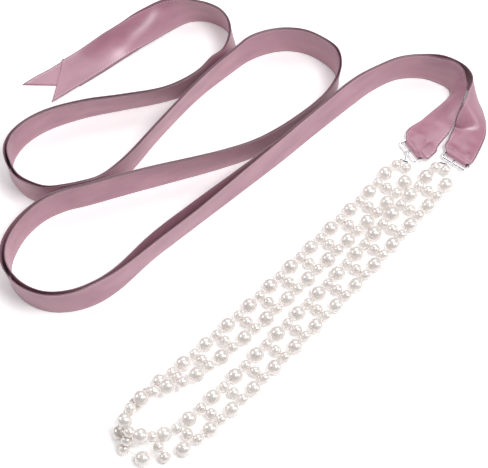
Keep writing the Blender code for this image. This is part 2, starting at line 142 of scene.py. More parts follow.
class Crease(NamedTuple):
    """A soft fold pressed into a ribbon: where it starts and ends, its width and its height.

    Along is counted from the ring's inner bar and across from the ribbon's lower edge.
    """

    along: float
    across: float
    along_end: float
    across_end: float
    width: float
    height: float


class Frame(NamedTuple):
    """A ribbon's cross-section in space: its foot, the way across, its normal, and its sizes."""

    foot: Vector
    across: Vector
    normal: Vector
    width: float
    bow: float
    along: float


# From the crest of the first bend to the start of the tails
PAIR_WAY: tuple[Pair, ...] = tuple(Pair(*row) for row in (
    (101.7, 111.4, 1.5, 5), (87.2, 110.8, 1.5, 8), (73.5, 103.0, 1.5, 6), (61.3, 92.1, 1.5, 1),
    (38.5, 69.1, 1.5, 2), (16.4, 46.6, 1.6, 4, 3), (-5.6, 25.3, 1.8, 8, 3),
    (-27.0, 4.7, 2.0, 12, 2), (-47.9, -15.8, 2.0, 12, 2), (-66.9, -37.4, 2.0, 7, 4),
    (-77.5, -45.4, 2.2, 6, 5), (-89.4, -49.7, 2.6, 10, 8), (-101.8, -49.6, 2.8, 12, 10),
    (-113.2, -43.8, 2.8, 12, 9), (-121.2, -33.2, 2.8, 10, 6), (-123.2, -22.5, 2.8, 6, 2),
    (-121.4, -12.5, 2.8, 2, -1), (-116.0, -0.6, 2.8, -3, -5), (-107.2, 9.5, 2.0, -6, -7),
    (-96.1, 16.0, 1.5, -8), (-84.1, 19.9, 1.5, -8), (-60.4, 28.5, 1.5, -8),
    (-12.2, 45.6, 1.5, -14), (3.4, 52.6, 1.5, -15), (16.4, 61.3, 1.5, -15),
    (28.3, 71.5, 1.5, -15), (35.6, 78.8, 1.5, -15), (42.4, 86.8, 1.5, -14), (49.4, 96.8, 1.8, -9),
    (52.9, 105.8, 2.4, -3), (52.2, 115.2, 2.2, 2, 1), (45.9, 123.3, 1.6, 4),
    (35.8, 130.3, 1.5, 6), (24.2, 132.6, 1.5, 7), (12.7, 130.3, 1.5, 6), (1.8, 124.5, 1.5, 5),
    (-7.5, 115.6, 1.5, 7), (-25.2, 97.2, 1.5, 10), (-48.1, 65.8, 1.5, 11), (-61.7, 44.2, 1.6, 9),
    (-69.8, 35.0, 1.6, 11), (-79.4, 26.4, 1.5, 12), (-89.3, 22.7, 1.5, 12),
    (-97.2, 21.2, 1.6, 13), (-104.4, 20.6, 1.8, 14), (-111.6, 22.3, 2.2, 13, 12),
    (-118.4, 26.8, 2.4, 13, 11), (-124.4, 34.4, 2.6, 9, 6), (-127.7, 42.6, 2.8, 4, 2),
    (-126.9, 51.6, 2.6, 0, -1), (-122.7, 60.5, 2.4, -5), (-115.6, 68.4, 2.2, -9),
    (-106.0, 74.9, 2.2, -12), (-88.8, 82.2, 2.4, -16), (-67.9, 87.9, 2.4, -20),
    (-46.9, 93.3, 2.2, -21), (-35.6, 97.7, 1.8, -17), (-27.2, 103.2, 1.6, -13),
    (-19.8, 109.2, 1.5, -6), (-12.3, 114.4, 1.5, -2), (-7.2, 122.2, 1.6, 4),
    (-5.4, 131.0, 1.6, 7), (-6.1, 140.4, 1.5, 11), (-10.6, 149.2, 1.5, 14),
    (-19.4, 155.2, 1.5, 15), (-31.2, 155.6, 1.5, 9),
))

# The ribbons fall flat, the left one on the right one
TAIL_WAY: tuple[Pair, ...] = tuple(Pair(*row) for row in (
    (-41.6, 149.3, 1.8, -12), (-51.6, 140.7, 2.4, -34), (-61.3, 132.2, 3.0, -62),
    (-70.8, 124.0, 3.0, -82), (-80.2, 115.7, 2.2, -90),
))
TAIL_BOW = (1.0, 4.2, 5.2, 3.2, 0.8)
TAIL_GAP = 1.5
TAIL_HEADING = -140.0
TAIL_CUT = 25.0
TAIL_SHARES = (0.35, 0.7, 1.0)
TAIL_LENGTHS = {Side.LEFT: 36.8, Side.RIGHT: 16.5}
CUT_SHARES = (0.25, 0.62, 1.0)

# From the ring to the first bend, where each ribbon turns over on its own
CLASP_ENDS: dict[Side, tuple[Section, ...]] = {
    Side.LEFT: (
        Section(90.0, 68.2, -88, 22.6, 0.0, -30, 3.1),
        Section(92.8, 72.8, -86, 22.2, 0.6, -14, 2.2),
        Section(98.8, 78.7, -81, 19.8, 1.2, -3, 0.7),
        Section(105.8, 86.0, -66, 19.0, 1.0, -1, 0.0),
        Section(111.4, 91.5, -42, 21.4, 0.6, 0, 0.0),
        Section(115.0, 95.6, -30, 22.0, 0.2, 0, 0.0),
        Section(116.8, 99.3, -15, 22.0, 0.0, 0, 0.0),
        Section(115.6, 103.4, -6, 22.0, 0.0, 0, 0.0),
        Section(110.6, 107.2, 1, 22.0, 0.0, 0, 0.0),
    ),
    Side.RIGHT: (
        Section(125.7, 46.7, 88, 19.0, 0.0, -14, 3.1),
        Section(129.0, 53.7, 87, 18.4, -0.6, -7, 2.2),
        Section(131.8, 60.6, 84, 18.5, -1.2, -7, 0.7),
        Section(134.3, 67.6, 76, 18.4, -1.4, -1, 0.0),
        Section(135.3, 75.8, 46, 21.4, -1.0, 0, 0.0),
        Section(134.4, 85.4, 29, 22.0, 0.0, 0, 0.0),
        Section(132.0, 94.0, 14, 22.0, 0.0, 0, 0.0),
        Section(127.6, 101.6, 9, 22.0, 0.0, 0, 0.0),
        Section(120.6, 107.9, 8, 22.0, 0.0, 0, 0.0),
        Section(111.5, 111.4, 6, 22.0, 0.0, 0, 0.0),
    ),
}

# How far past the ring's fold the clasp ends start
CLASP_START = 2.0

# The pleats, dents and crumpled hollows behind each ring, pressed in by the sewing
CREASES: dict[Side, tuple[Crease, ...]] = {
    Side.LEFT: (
        Crease(0.5, 13.6, 7.5, 14.6, 0.9, -1.1),
        Crease(1.0, 15.6, 7.0, 16.6, 1.1, 0.55),
        Crease(3.4, 3.6, 4.2, 3.9, 1.0, -0.8),
        Crease(4.5, 6.0, 9.0, 9.5, 2.4, 0.4),
        Crease(8.0, 15.5, 18.0, 12.0, 3.4, -0.5),
        Crease(17.0, 4.0, 23.0, 12.0, 4.0, -0.45),
        Crease(23.0, 9.0, 28.0, 15.0, 2.6, 0.5),
    ),
    Side.RIGHT: (
        Crease(0.5, 4.6, 7.0, 3.8, 0.9, -1.1),
        Crease(1.0, 2.6, 6.0, 2.0, 1.0, 0.55),
        Crease(2.5, 13.6, 3.2, 14.0, 1.0, -0.6),
        Crease(5.0, 10.0, 13.0, 12.0, 2.6, 0.4),
        Crease(13.0, 13.0, 19.0, 5.0, 4.0, -0.4),
        Crease(24.0, 14.0, 31.0, 8.0, 4.0, -0.3),
        Crease(20.0, 15.0, 27.0, 12.0, 3.4, 0.25),
    ),
}

RINGS: dict[Side, Ring] = {
    Side.LEFT: Ring(Side.LEFT, 92.1, 55.6, -60.0, 1),
    Side.RIGHT: Ring(Side.RIGHT, 116.2, 48.8, -40.0, 0),
}

NET_WAY: tuple[NetPoint, ...] = tuple(NetPoint(*row) for row in (
    (107.5, 41.6, 0, 0), (104.5, 33.2, 0, 0), (83.5, 5.8, 0, 0), (52.4, -34.5, 0, 0),
    (20.9, -71.7, 0, 0), (-10.0, -107.9, 2, 6), (-31.2, -129.6, 14, 24), (-44.6, -136.6, 44, 18),
    (-56.0, -134.6, 66, 6), (-59.6, -125.6, 76, 0), (-55.4, -115.2, 74, 0),
    (-44.8, -103.4, 52, -6), (-30.6, -92.6, 22, -6), (3.5, -57.6, 0, 0), (37.2, -19.0, 0, 0),
    (60.2, 7.7, 0, 0), (72.2, 21.4, 0, 0), (82.3, 35.3, 0, 0), (86.2, 43.4, 0, 0),
))


def to_linear(colour: str) -> tuple[float, float, float, float]:
    """Turn an sRGB hex colour into linear light.

    Args:
        colour: The colour as "#rrggbb".

    Returns:
        Red, green, blue and an alpha of one.
    """
    parts = [int(colour[i:i + 2], 16) / 255 for i in (1, 3, 5)]
    linear = [p / 12.92 if p <= 0.04045 else ((p + 0.055) / 1.055) ** 2.4 for p in parts]
    return (linear[0], linear[1], linear[2], 1.0)


def add_node(tree: bpy.types.NodeTree, kind: str, inputs: dict[Any, Any] | None = None,
             **settings: Any) -> bpy.types.Node:
    """Add one node with its settings, and set or link its inputs.

    Args:
        tree: The shader or geometry tree.
        kind: The node's type name.
        inputs: Values or output sockets, by input name or number.
        settings: Properties of the node.

    Returns:
        The new node.
    """
    node = tree.nodes.new(kind)
    for name, value in settings.items():
        setattr(node, name, value)
    for key, value in (inputs or {}).items():
        if isinstance(value, bpy.types.NodeSocket):
            tree.links.new(value, node.inputs[key])
        else:
            node.inputs[key].default_value = value
    return node


def place(x: float, y: float, z: float) -> Vector:
    """Give a point of the tables, with its height, in metres about the origin."""
    return Vector(((x - TABLE_MIDDLE[0]) * MM, (y - TABLE_MIDDLE[1]) * MM, z * MM))


def curve_through(rows: Sequence[Sequence[float]]) -> Curve:
    """Run a smooth curve through rows of numbers, the first two of which are a place.

    Args:
        rows: The rows, all of one length.

    Returns:
        A function of a row number, so 2.5 lies half way between the third row and the fourth.
    """
    table = [tuple(float(value) for value in row) for row in rows]
    last = len(table) - 1

    def spacing(a: Sequence[float], b: Sequence[float]) -> float:
        """Give the root of the distance between two rows' places."""
        return max(math.hypot(b[0] - a[0], b[1] - a[1]), 1e-6) ** 0.5

    def at(position: float) -> list[float]:
        """Give the curve's numbers at one place.

        Args:
            position: The place, in rows.

        Returns:
            As many numbers as a row has.
        """
        i = min(max(int(math.floor(position)), 0), last - 1)
        t = position - i
        b, c = table[i], table[i + 1]
        a = table[i - 1] if i > 0 else tuple(2 * p - q for p, q in zip(b, c))
        d = table[i + 2] if i + 2 <= last else tuple(2 * q - p for p, q in zip(b, c))
        da, db, dc = spacing(a, b), spacing(b, c), spacing(c, d)
        out = []
        for va, vb, vc, vd in zip(a, b, c, d):
            m1 = (vc - vb) + db * ((vb - va) / da - (vc - va) / (da + db))
            m2 = (vc - vb) + db * ((vd - vc) / dc - (vd - vb) / (db + dc))
            square, cube = t * t, t * t * t
            out.append((2 * cube - 3 * square + 1) * vb + (cube - 2 * square + t) * m1
                       + (3 * square - 2 * cube) * vc + (cube - square) * m2)
        return out

    return at


def heading_of(at: Curve, position: float, last: int) -> Vector:
    """Give the unit direction of a curve at one place, or just inside an end.

    Args:
        at: The curve.
        position: The place, in rows.
        last: The number of the curve's last row.

    Returns:
        The direction, level with the table.
    """
    margin, step = 0.03, 0.02
    position = min(max(position, margin), last - margin)
    x0, y0 = at(position - step)[:2]
    x1, y1 = at(position + step)[:2]
    return Vector((x1 - x0, y1 - y0, 0.0)).normalized()


def smooth_step(low: float, high: float, value: float) -> float:
    """Rise smoothly from 0 at low to 1 at high."""
    t = min(max((value - low) / (high - low), 0.0), 1.0)
    return t * t * (3 - 2 * t)


def stand(name: str, data: bpy.types.ID) -> bpy.types.Object:
    """Put new data into the scene as an object at the origin.

    Args:
        name: The object's name.
        data: A mesh, curve, light or camera.

    Returns:
        The object.
    """
    made = bpy.data.objects.new(name, data)
    bpy.context.scene.collection.objects.link(made)
    return made


def mesh_piece(name: str, verts: Sequence[Vector], faces: Sequence[Sequence[int]],
               material: bpy.types.Material) -> bpy.types.Object:
    """Make a smooth-shaded object from points and faces.

    Args:
        name: The piece's name.
        verts: Points in metres.
        faces: Faces that point outwards.
        material: The piece's one material.

    Returns:
        The object, linked to the scene at the origin.
    """
    mesh = bpy.data.meshes.new(name)
    mesh.from_pydata([tuple(v) for v in verts], [], [tuple(f) for f in faces])
    mesh.shade_smooth()
    mesh.materials.append(material)
    return stand(name, mesh)


def grown_mesh(name: str, seed: bpy.types.Object, group: bpy.types.NodeTree,
               values: dict[str, Any]) -> bpy.types.Object:
    """Run a Geometry Nodes tree on an object and keep the plain mesh that it makes.

    Args:
        name: The finished piece's name.
        seed: The object that the tree reads. It is removed.
        group: The tree.
        values: The tree's inputs, by their names.

    Returns:
        The finished piece, with no modifier.
    """
    modifier = seed.modifiers.new("grow", "NODES")
    modifier.node_group = group
    for socket in group.interface.items_tree:
        if socket.item_type == "SOCKET" and socket.in_out == "INPUT" and socket.name in values:
            modifier[socket.identifier] = values[socket.name]
    evaluated = seed.evaluated_get(bpy.context.evaluated_depsgraph_get())
    mesh = bpy.data.meshes.new_from_object(evaluated)
    mesh.name = name
    bpy.data.objects.remove(seed, do_unlink=True)
    return stand(name, mesh)


def tree_socket(group: bpy.types.NodeTree, name: str, kind: str, output: bool = False) -> None:
    """Add one named socket to a tree's face.

    Args:
        group: The tree.
        name: The socket's name.
        kind: The socket's type name.
        output: Whether it is an output.
    """
    group.interface.new_socket(name=name, in_out="OUTPUT" if output else "INPUT", socket_type=kind)


def start_material(name: str, constants: dict[str, Any]) -> tuple[
        bpy.types.Material, bpy.types.NodeTree, bpy.types.Node]:
    """Start a node material, with the constants of its shader set on the shader's own sockets.

    Args:
        name: The material's name.
        constants: Values by the shader's input names.

    Returns:
        The material, its tree and its shader.
    """
    material = bpy.data.materials.new(name)
    material.use_nodes = True
    tree = material.node_tree
    shader = tree.nodes["Principled BSDF"]
    for key, value in constants.items():
        shader.inputs[key].default_value = value
    return material, tree, shader


@dataclass(frozen=True)
class SatinFinish:
    """Double-faced polyester satin ribbon: long floats give a soft streak of light across it."""

    colour: str = "#b68093"
    # The darker end of the slow patches: painted shade of the satin's uneven sheen
    shade: str = "#a16a7e"
    edge: str = "#7d5162"
    float_light: str = "#e6c6d0"
    sheen_light: str = "#f0dde3"
    edge_width: float = 0.75
    tick_pitch: float = 1.6
    tick_band: tuple[float, float] = (1.3, 1.9)
    tick_strength: float = 0.7
    rib_pitch: float = 1.1
    rib_share: float = 0.25
    clouds_per_metre: tuple[float, float, float] = (40, 90, 1)
    cloud_range: tuple[float, float] = (0.32, 0.68)
    threads_per_metre: tuple[float, float, float] = (260, 2600, 1)
    relief: float = 0.16
    relief_depth: float = 0.2
    roughness: float = 0.4
    smoother: float = 0.04
    rougher: float = 0.08

    def material(self) -> bpy.types.Material:
        """Build the node material.

        Returns:
            A material that reads the ribbon's own UV map and its edge attribute.
        """
        material, tree, shader = start_material("satin_woven_polyester", {
            "Anisotropic": 0.7, "Anisotropic Rotation": 0.25, "Sheen Weight": 0.2,
            "Sheen Roughness": 0.4, "Sheen Tint": to_linear(self.sheen_light), "IOR": 1.75,
            "Specular IOR Level": 0.75})
        weave = add_node(tree, "ShaderNodeUVMap", uv_map="weave")
        edge = add_node(tree, "ShaderNodeAttribute", attribute_name="edge_mm")
        along = add_node(tree, "ShaderNodeSeparateXYZ", {0: weave.outputs[0]})
        # Slow patches of painted sheen and painted shade, a few centimetres long, laid on the
        # satin's colour
        cloud_map = add_node(tree, "ShaderNodeMapping",
                             {"Vector": weave.outputs[0], "Scale": self.clouds_per_metre})
        cloud = add_node(tree, "ShaderNodeTexNoise", {"Vector": cloud_map.outputs[0], "Scale": 1.0,
                                                      "Detail": 3.0, "Roughness": 0.5})
        sheen_and_shade_patches = add_node(tree, "ShaderNodeMapRange", {0: cloud.outputs[0], 1: self.cloud_range[0],
                                                       2: self.cloud_range[1]})
        body = add_node(tree, "ShaderNodeMix", {0: sheen_and_shade_patches.outputs[0], 6: to_linear(self.colour),
                                                7: to_linear(self.shade)}, data_type="RGBA")
        # The woven edge is a dense cord of darker shade, and just inside it the weft turns back
        # over the warp in pale slanting stitches, drawn coarser than real so that they show
        rim = add_node(tree, "ShaderNodeMapRange",
                       {0: edge.outputs["Fac"], 1: self.edge_width * 0.6, 2: self.edge_width * 1.4,
                        3: 1.0, 4: 0.0})
        slant = add_node(tree, "ShaderNodeMath",
                         {0: edge.outputs["Fac"], 1: MM, 2: along.outputs[0]},
                         operation="MULTIPLY_ADD")
        ticks = add_node(tree, "ShaderNodeMath",
                         {0: slant.outputs[0], 1: 2 * math.pi / (self.tick_pitch * MM)},
                         operation="MULTIPLY")
        tick_wave = add_node(tree, "ShaderNodeMath", {0: ticks.outputs[0]}, operation="SINE")
        tick_band = add_node(tree, "ShaderNodeMapRange",
                             {0: edge.outputs["Fac"], 1: self.tick_band[0], 2: self.tick_band[1],
                              3: self.tick_strength, 4: 0.0})
        tick_mask = add_node(tree, "ShaderNodeMath", {0: tick_wave.outputs[0],
                                                      1: tick_band.outputs[0]},
                             operation="MULTIPLY", use_clamp=True)
        ticked = add_node(tree, "ShaderNodeMix", {0: tick_mask.outputs[0], 6: body.outputs[2],
                                                  7: to_linear(self.float_light)}, data_type="RGBA")
        colour = add_node(tree, "ShaderNodeMix", {0: rim.outputs[0], 6: ticked.outputs[2],
                                                  7: to_linear(self.edge)}, data_type="RGBA")
        # Real ribs are about 0.3 mm apart; they are drawn coarser so that they show
        ribs = add_node(tree, "ShaderNodeMath",
                        {0: along.outputs[0], 1: 2 * math.pi / (self.rib_pitch * MM)},
                        operation="MULTIPLY")
        rib_wave = add_node(tree, "ShaderNodeMath", {0: ribs.outputs[0]}, operation="SINE")
        thread_map = add_node(tree, "ShaderNodeMapping",
                              {"Vector": weave.outputs[0], "Scale": self.threads_per_metre})
        threads = add_node(tree, "ShaderNodeTexNoise", {"Vector": thread_map.outputs[0],
                                                        "Scale": 1.0, "Detail": 2.0})
        relief = add_node(tree, "ShaderNodeMath", {0: rib_wave.outputs[0], 1: self.rib_share,
                                                   2: threads.outputs[0]}, operation="MULTIPLY_ADD")
        bump = add_node(tree, "ShaderNodeBump",
                        {"Strength": self.relief, "Distance": self.relief_depth * MM,
                         "Height": relief.outputs[0]})
        rough = add_node(tree, "ShaderNodeMapRange",
                         {0: threads.outputs[0], 3: self.roughness - self.smoother,
                          4: self.roughness + self.rougher})
        tangent = add_node(tree, "ShaderNodeTangent", direction_type="UV_MAP", uv_map="weave")
        tree.links.new(colour.outputs[2], shader.inputs["Base Color"])
        tree.links.new(rough.outputs[0], shader.inputs["Roughness"])
        tree.links.new(bump.outputs[0], shader.inputs["Normal"])
        tree.links.new(tangent.outputs[0], shader.inputs["Tangent"])
        return material


@dataclass(frozen=True)
class PearlFinish:
    """Glass beads in pearl lacquer: a warm white body, a clear gloss and a faint play of colour."""

    body: str = "#f3ede8"
    blush: str = "#e8dcda"
    roughness: float = 0.2
    mirror: float = 0.22
    patches_per_metre: float = 420.0
    relief: float = 0.05
    relief_depth: float = 0.1

    def material(self) -> bpy.types.Material:
        """Build the node material.

        Returns:
            A material that reads each pearl's own tint attribute.
        """
        material, tree, shader = start_material("lacquered_pearl", {
            "Roughness": self.roughness, "Metallic": self.mirror, "Coat Weight": 0.7,
            "Coat Roughness": 0.05, "Coat IOR": 1.5})
        tint = add_node(tree, "ShaderNodeAttribute", attribute_name="tint")
        coords = add_node(tree, "ShaderNodeTexCoord")
        # Uneven lacquer, in patches of two or three millimetres
        patches = add_node(tree, "ShaderNodeTexNoise", {
            "Vector": coords.outputs["Object"], "Scale": self.patches_per_metre, "Detail": 2.0})
        mixed = add_node(tree, "ShaderNodeMath", {0: tint.outputs["Fac"], 1: patches.outputs[0]},
                         operation="MULTIPLY")
        colour = add_node(tree, "ShaderNodeMix", {0: mixed.outputs[0], 6: to_linear(self.body),
                                                  7: to_linear(self.blush)}, data_type="RGBA")
        bump = add_node(tree, "ShaderNodeBump",
                        {"Strength": self.relief, "Distance": self.relief_depth * MM,
                         "Height": patches.outputs[0]})
        tree.links.new(colour.outputs[2], shader.inputs["Base Color"])
        tree.links.new(bump.outputs[0], shader.inputs["Normal"])
        return material


@dataclass(frozen=True)
class SilverFinish:
    """Rhodium-plated brass wire: bright, cool and slightly drawn along its length."""

    colour: str = "#eff0f2"
    roughness: float = 0.16
    smoother: float = 0.05
    rougher: float = 0.1
    grains_per_metre: float = 900.0
    relief: float = 0.06
    relief_depth: float = 0.1

    def material(self) -> bpy.types.Material:
        """Build the node material.

        Returns:
            A metal material.
        """
        material, tree, shader = start_material("rhodium_plated_wire", {
            "Base Color": to_linear(self.colour), "Metallic": 1.0})
        coords = add_node(tree, "ShaderNodeTexCoord")
        grain = add_node(tree, "ShaderNodeTexNoise", {
            "Vector": coords.outputs["Object"], "Scale": self.grains_per_metre, "Detail": 2.0})
        rough = add_node(tree, "ShaderNodeMapRange",
                         {0: grain.outputs[0], 3: self.roughness - self.smoother,
                          4: self.roughness + self.rougher})
        bump = add_node(tree, "ShaderNodeBump",
                        {"Strength": self.relief, "Distance": self.relief_depth * MM,
                         "Height": grain.outputs[0]})
        tree.links.new(rough.outputs[0], shader.inputs["Roughness"])
        tree.links.new(bump.outputs[0], shader.inputs["Normal"])
        return material


@dataclass(frozen=True)
class ThreadFinish:
    """Spun polyester sewing thread or nylon bead cord: matt, with a fine twist."""

    name: str
    colour: str
    roughness: float = 0.55
    twist_pitch: float = 0.5
    relief: float = 0.3
    relief_depth: float = 0.1

    def material(self) -> bpy.types.Material:
        """Build the node material.

        Returns:
            A material with a fine twist in its relief.
        """
        material, tree, shader = start_material(self.name, {
            "Base Color": to_linear(self.colour), "Roughness": self.roughness})
        coords = add_node(tree, "ShaderNodeTexCoord")
        twist = add_node(tree, "ShaderNodeTexWave",
                         {"Vector": coords.outputs["Object"], "Distortion": 1.0,
                          "Scale": 1 / (self.twist_pitch * MM) / 20}, bands_direction="DIAGONAL")
        bump = add_node(tree, "ShaderNodeBump",
                        {"Strength": self.relief, "Distance": self.relief_depth * MM,
                         "Height": twist.outputs[0]})
        tree.links.new(bump.outputs[0], shader.inputs["Normal"])
        return material


@dataclass
class WireTree:
    """The Geometry Nodes tree that turns points in a row into round wire or thread."""

    sides: int = 12

    def group(self, material: bpy.types.Material) -> bpy.types.NodeTree:
        """Build the tree.

        Args:
            material: The wire's material.

        Returns:
            A tree with the inputs Wire and Sides.
        """
        group = bpy.data.node_groups.new("drawn_wire", "GeometryNodeTree")
        tree_socket(group, "Geometry", "NodeSocketGeometry")
        tree_socket(group, "Wire", "NodeSocketFloat")
        tree_socket(group, "Sides", "NodeSocketInt")
        tree_socket(group, "Geometry", "NodeSocketGeometry", output=True)
        entry = add_node(group, "NodeGroupInput")
        radius = add_node(group, "ShaderNodeMath", {0: entry.outputs["Wire"], 1: 0.5},
                          operation="MULTIPLY")
        profile = add_node(group, "GeometryNodeCurvePrimitiveCircle",
                           {"Resolution": entry.outputs["Sides"], "Radius": radius.outputs[0]})
        tube = add_node(group, "GeometryNodeCurveToMesh",
                        {"Curve": entry.outputs[0], "Profile Curve": profile.outputs[0],
                         "Fill Caps": True})
        smooth = add_node(group, "GeometryNodeSetShadeSmooth", {0: tube.outputs[0]})
        real = add_node(group, "GeometryNodeRealizeInstances", {0: smooth.outputs[0]})
        dressed = add_node(group, "GeometryNodeSetMaterial",
                           {"Geometry": real.outputs[0], "Material": material})
        add_node(group, "NodeGroupOutput", {0: dressed.outputs[0]})
        return group

    def draw(self, name: str, lines: Sequence[Sequence[Vector]], wire: float,
             material: bpy.types.Material, cyclic: bool = False) -> bpy.types.Object:
        """Draw wire along one or more lines of points.

        Args:
            name: The piece's name.
            lines: Points in metres, a list for each length of wire.
            wire: The wire's thickness in millimetres.
            material: The wire's material.
            cyclic: Whether each length closes on itself.

        Returns:
            The finished piece.
        """
        data = bpy.data.curves.new(name, "CURVE")
        data.dimensions = "3D"
        for line in lines:
            spline = data.splines.new("POLY")
            spline.points.add(len(line) - 1)
            for target, point in zip(spline.points, line):
                target.co = (*point, 1.0)
            spline.use_cyclic_u = cyclic
        return grown_mesh(name, stand(name, data), self.group(material),
                          {"Wire": wire * MM, "Sides": self.sides})


@dataclass
class SatinRibbon:
    """One satin tie: round its ring, over, along the winding path on edge, to its cut tail."""

    side: Side
    tail_length: float
    width: float = 22.0
    body_half: float = 0.2
    cord_half: float = 0.3
    cord_spread: float = 0.35
    edge_round: float = 0.35
    loop_width: float = 13.2
    loop_wall: float = 1.0
    loop_top_width: float = 17.6
    flap: float = 7.0
    length: float = 0.0
    wire: float = RING_WIRE
    clearance: float = CLEARANCE
    ring_depth: float = RING_DEPTH
    step: float = 1.3
    columns: int = 12
    slack: float = 0.7
    least_gap: float = 0.68
    most_gap: float = 1.1
    gather_lift: float = 0.13
    gather_pitch: float = 4.2
    gather_fade: tuple[float, float] = (2.0, 16.0)
    crumple_lift: float = 0.42
    crumple_size: tuple[float, float] = (6.0, 5.0)
    crumple_fade: tuple[float, float] = (16.0, 34.0)
    wave_lift: float = 0.12
    wave_size: tuple[float, float] = (26.0, 30.0)

    def rows(self) -> list[Section]:
        """Give the ribbon's own sections, worked out from the pair's.

        Returns:
            The sections from the clasp end to the cut tail.
        """
        sign = self.side.sign
        along = math.radians(TAIL_HEADING)
        end = TAIL_WAY[-1]
        pairs = list(PAIR_WAY) + list(TAIL_WAY)
        for share in TAIL_SHARES:
            reach = self.tail_length * share
            pairs.append(Pair(end.x + reach * math.cos(along), end.y + reach * math.sin(along),
                              TAIL_GAP, -90))
        at = curve_through([pair[:3] for pair in pairs])
        bows = [0.0] * len(PAIR_WAY) + list(TAIL_BOW) + [0.0] * 3
        sections = []
        for number, pair in enumerate(pairs):
            gap = min(max(self.least_gap, pair.gap - self.slack), self.most_gap)
            heading = heading_of(at, number, len(pairs) - 1)
            left = Vector((-heading.y, heading.x, 0.0))
            lean_right = pair.lean if pair.lean_right is None else pair.lean_right
            tilt = math.radians((pair.lean + lean_right) / 2)
            out = sign * gap / 2
            rest = abs(math.sin(tilt)) * gap / 2
            foot = Vector((pair.x, pair.y, 0.0)) + left * (math.cos(tilt) * out)
            lift = max(0.0, rest - math.sin(tilt) * out)
            lean = pair.lean if sign > 0 else lean_right
            # A bowed ribbon is narrower from edge to edge, for the same length over its arch
            width = self.width - 8 / 3 * bows[number] ** 2 / self.width
            sections.append(Section(foot.x, foot.y, lean, width, bows[number], 0.0, lift))
        angle = -sign * math.degrees(math.atan2(TAIL_CUT, self.width))
        for number, share in zip(range(len(sections) - 3, len(sections)), CUT_SHARES):
            turn = angle * share
            sections[number] = sections[number]._replace(
                skew=turn, width=self.width / math.cos(math.radians(turn)))
        return list(CLASP_ENDS[self.side]) + sections

    def loop_frames(self) -> list[Frame]:
        """Give the cross-sections of the flap and of the fold round the ring's inner bar.

        Returns:
            The frames, with their lengths along counted backwards from the fold's upper end.
        """
        ring = RINGS[self.side]
        inward = ring.inward
        bar = ring.middle + inward * (self.ring_depth / 2)
        radius = self.wire / 2 + self.clearance + self.loop_wall / 2
        height = self.loop_wall / 2 + radius
        across = ring.long_side * self.side.sign
        start = bar - across * (self.loop_width / 2)
        frames = []
        flap_steps = 9
        for i in range(flap_steps):
            reach = self.flap * (1 - i / flap_steps)
            foot = start + inward * reach + Vector((0, 0, self.loop_wall / 2))
            frames.append(Frame(foot, across, Vector((0, 0, 1)), self.loop_width, 0.0,
                                -reach - math.pi * radius))
        arc_steps = 16
        for i in range(arc_steps + 1):
            angle = math.pi * i / arc_steps
            foot = (start - inward * (radius * math.sin(angle))
                    + Vector((0, 0, height - radius * math.cos(angle))))
            normal = inward * math.sin(angle) + Vector((0, 0, math.cos(angle)))
            wider = (self.loop_top_width - self.loop_width) * smooth_step(0.7, 1.1, i / arc_steps)
            along = -math.pi * radius * (1 - i / arc_steps)
            frames.append(Frame(foot - across * (wider / 2), across, normal,
                                self.loop_width + wider, 0.0, along))
        return frames

    def frames(self) -> list[Frame]:
        """Give every cross-section of the ribbon, from the flap to the tail.

        Returns:
            The frames, close enough together for smooth bends.
        """
        sections = self.rows()
        at = curve_through(sections)
        fine = 24
        frames: list[Frame] = []
        along, since = CLASP_START, self.step
        previous: list[float] | None = None
        for i in range((len(sections) - 1) * fine + 1):
            position = i / fine
            row = at(position)
            if previous is not None:
                gone = math.hypot(row[0] - previous[0], row[1] - previous[1])
                along += gone
                since += gone
            previous = row
            if since < self.step and i < (len(sections) - 1) * fine:
                continue
            since = 0.0
            heading = heading_of(at, position, len(sections) - 1)
            x, y, lean, width, bow, skew, lift = row
            tilt, turn = math.radians(lean), math.radians(skew)
            left = Vector((-heading.y, heading.x, 0.0))
            level = Vector((left.x * math.cos(turn) - left.y * math.sin(turn),
                            left.x * math.sin(turn) + left.y * math.cos(turn), 0.0))
            across = level * math.sin(tilt) + Vector((0.0, 0.0, math.cos(tilt)))
            normal = level * math.cos(tilt) - Vector((0.0, 0.0, math.sin(tilt)))
            ground = lift + abs(math.sin(tilt)) * self.cord_half
            frames.append(Frame(Vector((x, y, ground)), across, normal, width, bow, along))
        return self.joined(self.loop_frames(), frames)

    def joined(self, loop: list[Frame], way: list[Frame]) -> list[Frame]:
        """Turn the loop's sections to match the way's first one, and put the two in one list.

        Args:
            loop: The frames of the fold round the ring.
            way: The frames of the rest of the ribbon.

        Returns:
            All the frames.
        """
        sign = self.side.sign
        turned = [frame_._replace(normal=frame_.normal * sign) for frame_ in loop]
        last, first = turned[-1], way[0]
        middle = []
        steps = 3
        for i in range(1, steps):
            t = i / steps
            middle.append(Frame(last.foot.lerp(first.foot, t),
                                last.across.lerp(first.across, t).normalized(),
                                last.normal.lerp(first.normal, t).normalized(),
                                last.width + (first.width - last.width) * t, 0.0,
                                CLASP_START * t))
        return turned + middle + way

